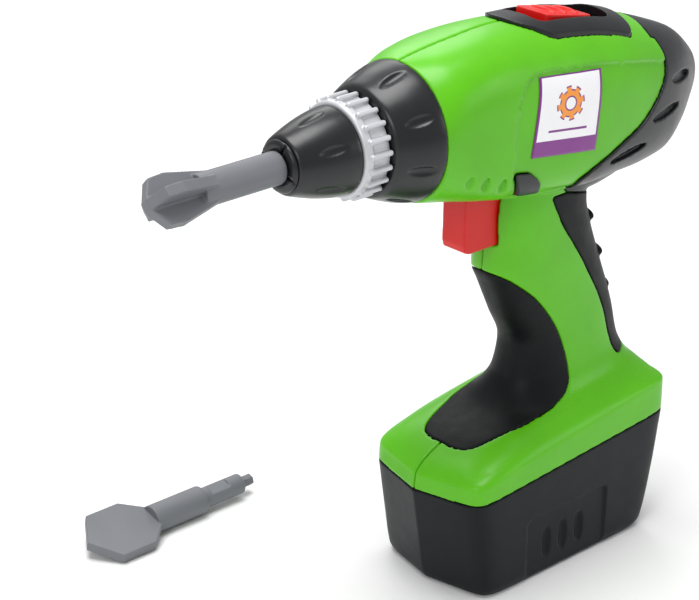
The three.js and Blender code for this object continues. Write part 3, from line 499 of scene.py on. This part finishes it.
sunk_form = cut(copied(form), panel_skin)
shell = cut(copied(sunk_form), cavity, keep=True)
cut(shell, bar(0, (BODY_X - 1, BODY_X + 6), SEAT_RADIUS, (0, 0, AXIS_Z), 96))
foot_opening = common(box((-60, 60), (-23, 23), (20, 36)), handle_loft(HANDLE, WALL))
cut(shell, foot_opening)

for x, z in SCREW_PLACES:
    boss = common(bar(1, (-19, 19), 3.6, (x, 0, z)), sunk_form, keep=True)
    join(shell, boss)
for x, hole in ((-16.5, 15.4), (30.5, 10.4)):
    rib = common(box((x, x + 1.6), (-25, 25), (AXIS_Z - 12, 190)), sunk_form, keep=True)
    cut(rib, bar(0, (x - 1, x + 3), hole, (0, 0, AXIS_Z), 96))
    cut(rib, box((x - 1, x + 3), (-14, 14), (100, AXIS_Z - 2)))
    join(shell, rib)

remove(sunk_form)

rear_grip_cutter = prism(1, widened(REAR_GRIP_OUTLINE, SEAM), ACROSS)
cut(
    shell,
    prism(1, widened(CAP_OUTLINE, SEAM), ACROSS),
    front_grip_region(SEAM),
    prism(2, widened(BEZEL_PLAN, SEAM), (158, 200)),
    window_region(SEAM),
    box((TRIGGER_X[0] - TRIGGER_GAP, -6),
        (-TRIGGER_WIDTH / 2 - TRIGGER_GAP, TRIGGER_WIDTH / 2 + TRIGGER_GAP),
        (TRIGGER_Z[0] - TRIGGER_GAP, TRIGGER_Z[1] + 2.4)),
)
cut(shell, rear_grip_cutter, keep=True)
for x, z in SCREW_PLACES:
    cut(shell, bar(1, (-10, 9), SCREW_HOLE_RADIUS, (x, 0, z)))
    cut(shell, bar(1, (7, 40), SCREW_HEAD_RADIUS, (x, 0, z)))
for x, z in DIMPLES:
    for side in (-1, 1):
        lean = Matrix.Rotation(math.radians(90), 4, "Y")
        cut(shell, ellipsoid((3.4, 1.2, 1.6), Matrix.Translation((x, side * DIMPLE_Y, z)) @ lean))


def half_space(side):
    span = sorted((side * 0.05, side * REACH))
    return box((-REACH, REACH), span, (-REACH, 2 * REACH))


left_housing = rounded(common(copied(shell), half_space(-1)), GRAIN, 7)
right_housing = rounded(common(shell, half_space(1)), GRAIN, 7)

rear_cap = common(copied(form), cap_region)
cut(rear_cap, rear_grip_cutter)
gill_skin = body_form(GILL_DEPTH)
gills = []
for x, z, half_length, tilt in GILLS:
    turn = Matrix.Rotation(-math.radians(tilt), 4, "Y")
    gills.append(ellipsoid((half_length, 30, 1.8), Matrix.Translation((x, 0, z)) @ turn, 48))
for gill in gills:
    cut(gill, gill_skin, keep=True)
remove(gill_skin)
cut(rear_cap, *gills)
cut(rear_cap, body_form(THICK_WALL))
rounded(rear_cap)

rear_grip = common(copied(form), prism(1, REAR_GRIP_OUTLINE, ACROSS))
for x, z in BUMPS:
    bump = ellipsoid((2.6, 7.5, 2.6), Matrix.Translation((x - 2.0, 0, z)), 32)
    join(rear_grip, bump)
cut(rear_grip, cavity, keep=True)
rounded(rear_grip)

front_grip = common(copied(form), front_grip_region(0))
cut(front_grip, cavity, keep=True)
rounded(front_grip)

bezel = moved(copied(form), Matrix.Translation((0, 0, BEZEL_LIFT)))
common(bezel, prism(2, BEZEL_PLAN, (158, 200)))
cut(bezel, cavity, keep=True)
cut(bezel, prism(2, BEZEL_WINDOW, (120, 200)))
rounded(bezel, FINE_GRAIN, 3)

plugs = {}
for side, name in ((-1, "left"), (1, "right")):
    plug = common(copied(form), window_region(0, (side,)))
    cut(plug, cavity, keep=True)
    plugs[name] = rounded(plug, FINE_GRAIN, 2)
remove(form, cavity)


def label_sheet(side):
    """A thin sheet on the sunk side panel, with its own flat coordinates."""
    across, up = 36, 36
    thickness = 0.3
    low_left, low_right, high_right, high_left = (np.array(corner) for corner in LABEL_CORNERS)
    places, flat = [], []
    for lift in (0.04, thickness):
        for j in range(up + 1):
            for i in range(across + 1):
                u, v = i / across, j / up
                low = low_left * (1 - u) + low_right * u
                high = high_left * (1 - u) + high_right * u
                x, z = low * (1 - v) + high * v
                y = barrel_side(x, z, PANEL_DEPTH) + lift
                places.append((x, side * y, z))
                flat.append((u, v))
    layer = (across + 1) * (up + 1)
    faces = []
    for j in range(up):
        for i in range(across):
            a = j * (across + 1) + i
            b, c, d = a + 1, a + across + 2, a + across + 1
            faces += [(a, b, c, d), (a + layer, d + layer, c + layer, b + layer)]
    rim = [i for i in range(across + 1)]
    rim += [j * (across + 1) + across for j in range(1, up + 1)]
    rim += [up * (across + 1) + i for i in range(across - 1, -1, -1)]
    rim += [j * (across + 1) for j in range(up - 1, 0, -1)]
    for a, b in zip(rim, rim[1:] + rim[:1]):
        faces.append((a, a + layer, b + layer, b))
    obj = outward(mesh_object("label", places, faces))
    layer_uv = obj.data.uv_layers.new(name="flat")
    for loop in obj.data.loops:
        u, v = flat[loop.vertex_index]
        layer_uv.data[loop.index].uv = (u if side < 0 else 1 - u, v)
    return obj


labels = {"left": label_sheet(-1), "right": label_sheet(1)}

# ------------------------------------------------------------------ controls

switch_slope = Matrix.Rotation(math.radians(11.3), 4, "Y")
switch_plan = round_corners([(-10.2, -7.2), (10.2, -7.2), (10.2, 7.2), (-10.2, 7.2)], 2.5)
switch = prism(2, switch_plan, (0, 8.2))
join(switch, box((-11.2, 11.2), (-9.8, 9.8), (-0.8, 0.8)))
for x in (-5, 0, 5):
    ridge = ellipsoid((1.2, 5.8, 1.2), Matrix.Translation((x, 0, 8.1)), 32)
    join(switch, ridge)
rounded(switch, FINE_GRAIN, 4)
moved(switch, Matrix.Translation((13, 0, 171)) @ switch_slope)

trigger_outline = [
    (TRIGGER_X[0] + 0.4, TRIGGER_Z[1]), (TRIGGER_X[0], TRIGGER_Z[0] + 3),
    (TRIGGER_X[0] + 0.6, TRIGGER_Z[0] + 0.8),
    (TRIGGER_X[0] + 2.6, TRIGGER_Z[0]), (TRIGGER_X[1], TRIGGER_Z[0]), (TRIGGER_X[1], TRIGGER_Z[1]),
]
trigger = prism(1, trigger_outline, (-TRIGGER_WIDTH / 2, TRIGGER_WIDTH / 2))
cut(trigger, bar(0, (-14, 0), 3.4, (0, 0, SPRING_Z)))
rounded(trigger, FINE_GRAIN, 6)



def coil(span, radius, wire, turns):
    """A round wire wound about a line along X."""
    steps = turns * 28
    section = ring_of(wire, 10)
    rings = []
    for i in range(steps + 1):
        angle = 2 * math.pi * turns * i / steps
        out = np.array([0, math.cos(angle), math.sin(angle)])
        centre = out * radius + np.array([span[0] + (span[1] - span[0]) * i / steps, 0, SPRING_Z])
        rings.append(centre + section[:, :1] * out + section[:, 1:] * np.array([1, 0, 0]))
    return skin("coil", rings)


spring = coil(SPRING_X, 2.3, 0.4, 5)

# ------------------------------------------------------------------ nose


def hollows(count, x, radius, radii, lean, phase):
    """Leaf-shaped hollows round a cone: an ellipsoid sunk into its side, repeated."""
    tools = []
    for i in range(count):
        turn = Matrix.Rotation(phase + 2 * math.pi * i / count, 4, "X")
        place = Matrix.Translation((0, 0, AXIS_Z)) @ turn
        place = place @ Matrix.Translation((x, 0, radius)) @ Matrix.Rotation(lean, 4, "Y")
        tools.append(ellipsoid(radii, place, 32))
    return tools


collar_side = curve_through([
    (COLLAR_X[0], 15.6), (-64.4, 16.7), (-61, 18.2), (-56.5, 19.9), (-52.5, 21), (COLLAR_X[1], 21.3),
], 4)
collar = turned([
    (COLLAR_X[0], 12.2), *collar_side, (COLLAR_X[1], 17.2), (-45, 17.2), (-45, 15), (-61, 12.2),
])
cut(collar, *hollows(8, -57.4, 20.5, (6.4, 2.1, 1.8), -0.36, 0.3))
rounded(collar, 1.3 * FINE_GRAIN, 3)

RIB_COUNT = 21
ring = turned([
    (RING_X[0], 12.6), (RING_X[0], 13.7), (RING_X[0] + 0.5, 14.2), (-72.4, 14.4), (-71.8, 13.7),
    (RING_X[1], 13.9), (RING_X[1], 12.6),
])
ribs = []
for i in range(RIB_COUNT):
    turn = Matrix.Rotation(2 * math.pi * i / RIB_COUNT, 4, "X")
    place = Matrix.Translation((0, 0, AXIS_Z)) @ turn @ Matrix.Translation((0, 0, 14.7))
    rib = bar(0, (-73, -66), 0.86, count=20)
    join(rib, ellipsoid((0.86, 0.86, 0.86), Matrix.Translation((-73, 0, 0)), 20))
    ribs.append(moved(rib, place))
join(ring, *ribs)
rounded(ring, FINE_GRAIN, 1)

sleeve_side = curve_through([
    (-94.4, 8.1), (-93.6, 8.8), (-90, 10.1), (-85, 11.6), (-80, 12.7), (-76.4, 13.2),
], 4)
sleeve = turned([
    (-94.4, 6.2), *sleeve_side, (-75.3, 13.2), (-75.3, 12.2), (-66.2, 12.2), (-66.2, 6.2),
])
cut(sleeve, *hollows(6, -84, 12.6, (6, 1.9, 1.5), -0.26, 0.1))
rounded(sleeve, FINE_GRAIN, 3)

socket = turned([
    (NOSE_X, BORE_RADIUS), (NOSE_X, 7), (NOSE_X + 0.5, 7.6), (NOSE_X + 1, 7.8), (-94.7, 7.8), (-94.7, 5.9),
    (NOSE_X + BORE_DEPTH + 2, 5.9), (NOSE_X + BORE_DEPTH + 2, 0), (NOSE_X + BORE_DEPTH, 0),
    (NOSE_X + BORE_DEPTH, BORE_RADIUS),
])
for i in range(2):
    slot = box((-0.8, 0.8), (-0.65, 0.65), (-9, 9))
    turn = Matrix.Rotation(math.pi / 2 * i + 0.4, 4, "X")
    cut(socket, moved(slot, Matrix.Translation((NOSE_X, 0, AXIS_Z)) @ turn))

# ------------------------------------------------------------------ battery case

case = handle_loft(CASE)
hollow = handle_loft((
    (2.4, 2.4, -30.4, 41, 23, 14, 4.6), CASE[3], (BORDER[0] + 2, BORDER[1] + 2, -37, 51.6, 24.6, 14, 5.5),
), THICK_WALL)
cut(case, hollow)
for x in (-18, 18):
    cradle = box((x, x + 2), (-21.4, 21.4), (2.6, 10))
    for side in (-1, 1):
        cut(cradle, bar(0, (x - 1, x + 3), CELL_RADIUS, (0, side * CELL_Y, CELL_Z)))
    join(case, cradle)
for x in (-27, 30.6):
    join(case, box((x, x + 1.6), (-16, 16), (2.2, 20)))


def door_plan(margin):
    x0, x1, half = -26 - margin, 36 + margin, 18 + margin
    return round_corners([(x0, -half), (x1, -half), (x1, half), (x0, half)], 3)


cut(case, prism(2, door_plan(DOOR_GAP), (-1, 2.3)), prism(2, door_plan(-DOOR_LEDGE), (-1, 4)))
cut(case, bar(2, (-1, 12), 1.55, (DOOR_SCREW_X, 0, 0)))
CASE_PANEL = round_corners([(-14.4, 1.6), (22.6, 1.6), (22.6, 22.6), (-14.4, 22.6)], 2.5)
for side in (-1, 1):
    cut(case, prism(1, CASE_PANEL, sorted((side * CASE_FLANK_Y, side * 26))))
    for x in (-4.6, 3, 10.6):
        lean = Matrix.Rotation(math.radians(90), 4, "Y")
        cut(case, ellipsoid((5.6, 1.2, 1.9), Matrix.Translation((x, side * CASE_FLANK_Y, 11.4)) @ lean))
rounded(case, GRAIN, 3)

door = prism(2, door_plan(0), (0, 2))
cut(door, bar(2, (-1, 4), 1.7, (DOOR_SCREW_X, 0, 0)), bar(2, (-1, 1.6), 2.9, (DOOR_SCREW_X, 0, 0)))
rounded(door, FINE_GRAIN, 1)

# ------------------------------------------------------------------ bits

BIT_RADIUS = 4.9
CROSS_PLACE = Matrix.Translation((NOSE_X - 0.3, 0, AXIS_Z)) @ Matrix.Rotation(math.radians(45), 4, "X")
SPADE_PLACE = Matrix.Translation((-63, 82, BIT_RADIUS)) @ Matrix.Rotation(math.radians(15), 4, "X")


def bit_shank(body_length):
    shank = bar(0, (-body_length, 0), BIT_RADIUS)
    join(shank, bar(0, (-0.5, 17), 3.6), bar(0, (16.5, 22), 2.1, count=6))
    cut(shank, box((3, 11), (-8, 8), (2.8, 8)), box((3, 11), (-8, 8), (-8, -2.8)))
    return shank


wing = [
    (-45, 1.6), (-41.5, 7.2), (-36, 7.6), (-27, 5.6), (-20, 4), (-20, -4), (-27, -5.6), (-36, -7.6),
    (-41.5, -7.2), (-45, -1.6),
]
cross_bit = bit_shank(28)
join(cross_bit, prism(1, wing, (-1.7, 1.7)), prism(2, wing, (-1.7, 1.7)))
rounded(cross_bit, FINE_GRAIN, 1)
moved(cross_bit, CROSS_PLACE)

blade = [
    (-47, 0), (-40, -11), (-27, -11), (-19, -4), (-14, -3), (-14, 3), (-19, 4), (-27, 11), (-40, 11),
]
spade_bit = bit_shank(21)
join(spade_bit, prism(2, blade, (-1.8, 1.8)))
rounded(spade_bit, FINE_GRAIN, 1)
moved(spade_bit, SPADE_PLACE)

# ------------------------------------------------------------------ finishes


class Finish:
    """A material whose nodes are added by small methods."""

    def __init__(self, name, roughness, **sockets):
        self.material = bpy.data.materials.new(name)
        self.material.use_nodes = True
        self.nodes = self.material.node_tree.nodes
        self.links = self.material.node_tree.links
        self.surface = self.nodes["Principled BSDF"]
        self.surface.inputs["Roughness"].default_value = roughness
        for socket, value in sockets.items():
            self.surface.inputs[socket.replace("_", " ")].default_value = value
        self.place = self.nodes.new("ShaderNodeTexCoord").outputs["Object"]
        self.height = None

    def noise(self, scale, detail=3.0):
        """Noise in the piece's own space, with the scale given in grains per metre."""
        texture = self.nodes.new("ShaderNodeTexNoise")
        texture.inputs["Scale"].default_value = scale
        texture.inputs["Detail"].default_value = detail
        self.links.new(self.place, texture.inputs["Vector"])
        return texture.outputs["Fac"]

    def ramp(self, source, stops):
        """Colours along a value."""
        ramp = self.nodes.new("ShaderNodeValToRGB")
        elements = ramp.color_ramp.elements
        while len(elements) < len(stops):
            elements.new(0.5)
        for element, (at, colour) in zip(elements, stops):
            element.position = at
            element.color = (*colour, 1)
        self.links.new(source, ramp.inputs["Fac"])
        return ramp.outputs["Color"]

    def mottle(self, dark, light, scale=60.0):
        """Base colour that drifts a little over the piece."""
        colour = self.ramp(self.noise(scale, 4), [(0.3, dark), (0.7, light)])
        self.links.new(colour, self.surface.inputs["Base Color"])
        return self

    def sheen_drift(self, low, high, scale=140.0):
        """Roughness that wanders between two values, like handling marks."""
        spread = self.nodes.new("ShaderNodeMapRange")
        spread.inputs["From Min"].default_value = 0.3
        spread.inputs["From Max"].default_value = 0.7
        spread.inputs["To Min"].default_value = low
        spread.inputs["To Max"].default_value = high
        self.links.new(self.noise(scale, 6), spread.inputs["Value"])
        self.links.new(spread.outputs["Result"], self.surface.inputs["Roughness"])
        return self

    def grain(self, scale, strength, distance=0.00004, detail=3.0):
        """Fine bumps; several calls stack up."""
        bump = self.nodes.new("ShaderNodeBump")
        bump.inputs["Strength"].default_value = strength
        bump.inputs["Distance"].default_value = distance
        self.links.new(self.noise(scale, detail), bump.inputs["Height"])
        if self.height:
            self.links.new(self.height, bump.inputs["Normal"])
        self.height = bump.outputs["Normal"]
        self.links.new(self.height, self.surface.inputs["Normal"])
        return self


def linear(red, green, blue):
    """An sRGB colour of 0 to 255 as the shader's linear values."""
    values = []
    for value in (red, green, blue):
        part = value / 255
        values.append(part / 12.92 if part <= 0.04045 else ((part + 0.055) / 1.055) ** 2.4)
    return tuple(values)


def moulded(name, colour, roughness, contrast=0.06, bump=0.12, **sockets):
    """Injection-moulded plastic: a faint drift of colour, handling marks and a fine skin."""
    dark = tuple(part * (1 - contrast) for part in colour)
    light = tuple(min(part * (1 + contrast), 1) for part in colour)
    finish = Finish(name, roughness, **sockets).mottle(dark, light)
    finish.sheen_drift(roughness * 0.92, min(roughness * 1.1, 1), 220)
    return finish.grain(2600, bump).grain(240, bump * 0.5, 0.00008)


green = moulded("green plastic", linear(90, 183, 14), 0.32, Specular_IOR_Level=0.35)
black = moulded(
    "black plastic", linear(22, 24, 28), 0.33, contrast=0.08, bump=0.2, Specular_IOR_Level=0.4)
nose_black = moulded(
    "satin black", linear(23, 24, 27), 0.3, contrast=0.08, bump=0.2, Specular_IOR_Level=0.45)
battery_black = moulded(
    "battery black", linear(12, 16, 20), 0.42, contrast=0.08, bump=0.3, Specular_IOR_Level=0.2)
grip_black = moulded(
    "grip black", linear(6, 8, 12), 0.5, contrast=0.08, bump=0.4, Specular_IOR_Level=0.2)
grip_black.grain(1300, 0.35, 0.00012)
red = moulded("red plastic", linear(208, 18, 12), 0.33, bump=0.1, Specular_IOR_Level=0.35)
silver = moulded("silver paint", linear(196, 197, 201), 0.34, contrast=0.06, bump=0.25, Metallic=0.25)
grey = moulded("grey plastic", linear(108, 110, 115), 0.5, bump=0.3)
nylon = moulded("nylon", linear(232, 228, 216), 0.5, bump=0.2)
steel = moulded("steel", linear(170, 173, 178), 0.28, contrast=0.1, bump=0.1, Metallic=0.95)
brass = moulded("brass", linear(201, 164, 74), 0.3, contrast=0.1, bump=0.1, Metallic=0.95)
jacket = moulded("cell jacket", linear(196, 160, 70), 0.35, contrast=0.1, bump=0.1)
wire_black = moulded("black lead", linear(28, 28, 30), 0.45, bump=0.2)
wire_red = moulded("red lead", linear(180, 30, 26), 0.45, bump=0.2)


def label_finish():
    """White paper with a violet border and foot band, and a plain cog as its mark."""
    finish = Finish("label paper", 0.42, Coat_Weight=0.3, Coat_Roughness=0.2)
    nodes, links = finish.nodes, finish.links
    flat = nodes.new("ShaderNodeUVMap")
    flat.uv_map = "flat"
    parts = nodes.new("ShaderNodeSeparateXYZ")
    links.new(flat.outputs["UV"], parts.inputs["Vector"])
    u, v = parts.outputs["X"], parts.outputs["Y"]

    def math_node(operation, *values):
        node = nodes.new("ShaderNodeMath")
        node.operation = operation
        for i, value in enumerate(values):
            if isinstance(value, (int, float)):
                node.inputs[i].default_value = value
            else:
                links.new(value, node.inputs[i])
        return node.outputs["Value"]

    def inside(value, low, high):
        above = math_node("GREATER_THAN", value, low)
        below = math_node("LESS_THAN", value, high)
        return math_node("MULTIPLY", above, below)

    # Distance and angle from the middle of the mark; the sheet is nearly as wide as it is high.
    du = math_node("SUBTRACT", u, 0.5)
    dv = math_node("SUBTRACT", v, 0.64)
    across = math_node("MULTIPLY", du, du)
    upward = math_node("MULTIPLY", dv, dv)
    radius = math_node("SQRT", math_node("ADD", across, upward))
    angle = math_node("ARCTAN2", dv, du)
    wave = math_node("SINE", math_node("MULTIPLY", angle, 8.0))
    tooth = math_node("MULTIPLY", math_node("GREATER_THAN", wave, 0.0), 0.045)
    rim = math_node("ADD", tooth, 0.155)
    cog_edge = inside(radius, 0.075, math_node("ADD", rim, 0.018))
    cog = inside(radius, 0.093, rim)
    field = math_node("MULTIPLY", inside(u, 0.035, 0.965), inside(v, 0.2, 0.985))
    rule = math_node("MULTIPLY", inside(u, 0.2, 0.8), inside(v, 0.3, 0.33))

    def blend(mask, below, above):
        mix = nodes.new("ShaderNodeMix")
        mix.data_type = "RGBA"
        links.new(mask, mix.inputs["Factor"])
        for socket, colour in ((6, below), (7, above)):
            if isinstance(colour, tuple):
                mix.inputs[socket].default_value = (*colour, 1)
            else:
                links.new(colour, mix.inputs[socket])
        return mix.outputs[2]

    violet = linear(124, 30, 132)
    colour = blend(field, violet, linear(246, 246, 249))
    colour = blend(rule, colour, violet)
    colour = blend(cog_edge, colour, violet)
    colour = blend(cog, colour, linear(246, 152, 40))
    links.new(colour, finish.surface.inputs["Base Color"])
    finish.sheen_drift(0.36, 0.5, 300)
    return finish.grain(900, 0.08)


label_paper = label_finish()

# ------------------------------------------------------------------ pieces on the frame


def piece(obj, name, node, body, finish):
    """Scales a finished mesh to metres and puts it in the place of a CAD node."""
    obj.name = name
    obj.data.name = name
    obj.data.transform(Matrix.Scale(MM, 4))
    obj.data.materials.clear()
    obj.data.materials.append(finish.material)
    obj.data.polygons.foreach_set("use_smooth", [True] * len(obj.data.polygons))
    obj.data.update()
    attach(obj, body)
    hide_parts(node)
    return obj


piece(left_housing, "left_shell", "left_housing", "body", green)
piece(right_housing, "right_shell", "right_housing", "body", green)
piece(rear_cap, "cap", "rear_cap", "body", black)
piece(front_grip, "grip_front", "front_grip", "body", grip_black)
piece(rear_grip, "grip_rear", "rear_grip", "body", grip_black)
piece(bezel, "bezel", "switch_bezel", "body", black)
for name in ("left", "right"):
    piece(plugs[name], f"{name}_window", f"{name}_window_plug", "body", black)
    piece(labels[name], f"{name}_sticker", f"{name}_label", "body", label_paper)
piece(switch, "thumb_switch", "direction_switch", "direction_switch", red)
piece(trigger, "finger_trigger", "trigger", "trigger", red)
piece(spring, "spring", "trigger_spring", "body", steel)
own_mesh(spring)
piece(collar, "collar", "nose_collar", "body", nose_black)
piece(ring, "ribbed_ring", "torque_ring", "torque_ring", silver)
piece(sleeve, "sleeve", "chuck_sleeve", "chuck", nose_black)
piece(socket, "socket", "bit_socket", "chuck", nose_black)
piece(case, "case", "battery_case", "body", battery_black)
piece(door, "door", "battery_door", "body", battery_black)
piece(cross_bit, "bit_cross", "cross_bit", "cross_bit", grey)
piece(spade_bit, "bit_spade", "spade_bit", "spade_bit", grey)

INNER_FINISHES = {
    "trigger_switch": black, "direction_contacts": nylon, "spindle": nylon,
    "spindle_bush": nylon, "output_gear": nylon, "intermediate_gear": nylon, "layshaft": steel,
    "motor_pinion": brass, "gearbox_front_plate": black, "gearbox_rear_plate": black,
    "motor_can": steel, "motor_end_cap": nylon, "motor_armature": steel, "front_contact": steel,
    "rear_contact_left": steel, "rear_contact_right": steel, "battery_cell_left": jacket,
    "battery_cell_right": jacket, "feed_wire": wire_black, "motor_wire": wire_black,
    "return_wire": wire_red, "door_screw": steel,
}
for i in range(len(SCREW_PLACES)):
    INNER_FINISHES[f"housing_screw_{i + 1}"] = steel
for name, finish in INNER_FINISHES.items():
    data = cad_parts[name].data
    data.materials.clear()
    data.materials.append(finish.material)

# ------------------------------------------------------------------ floor, light and camera

floor_finish = Finish("pale floor", 0.6).mottle((0.86, 0.86, 0.86), (0.9, 0.9, 0.9), 4)
floor = mesh_object("floor", [(-6, -6, 0), (6, -6, 0), (6, 6, 0), (-6, 6, 0)], [(0, 1, 2, 3)])
floor.data.materials.append(floor_finish.material)


def soft_light(name, place, size, power, target=(-0.01, 0, 0.1)):
    """A large square light that faces the drill."""
    lamp = bpy.data.lights.new(name, "AREA")
    lamp.size = size
    lamp.energy = power
    obj = bpy.data.objects.new(name, lamp)
    obj.location = place
    obj.rotation_euler = (Vector(target) - Vector(place)).to_track_quat("-Z", "Y").to_euler()
    bpy.context.scene.collection.objects.link(obj)
    return obj


soft_light("overhead", (-0.1, 0.1, 1.4), 0.8, 17)
soft_light("front", (-1.3, -0.5, 0.9), 0.5, 5)
soft_light("side", (0.9, -1.1, 0.5), 0.5, 2)
soft_light("back", (0.6, 1.0, 0.9), 0.6, 3)

world = bpy.data.worlds.new("studio")
world.use_nodes = True
world.node_tree.nodes["Background"].inputs["Color"].default_value = (1, 1, 1, 1)
world.node_tree.nodes["Background"].inputs["Strength"].default_value = 0.5
bpy.context.scene.world = world
bpy.context.scene.view_settings.view_transform = "Standard"

camera = bpy.data.objects.new("camera", bpy.data.cameras.new("camera"))
camera.data.sensor_fit = "HORIZONTAL"
camera.data.sensor_width = 36
camera.data.lens = 113.3
camera.location = (-0.46378, -0.43868, 0.36778)
AIM = Vector((-0.0352, 0.0373, 0.0853))
camera.rotation_euler = (AIM - camera.location).to_track_quat("-Z", "Y").to_euler()
bpy.context.scene.collection.objects.link(camera)
bpy.context.scene.camera = camera
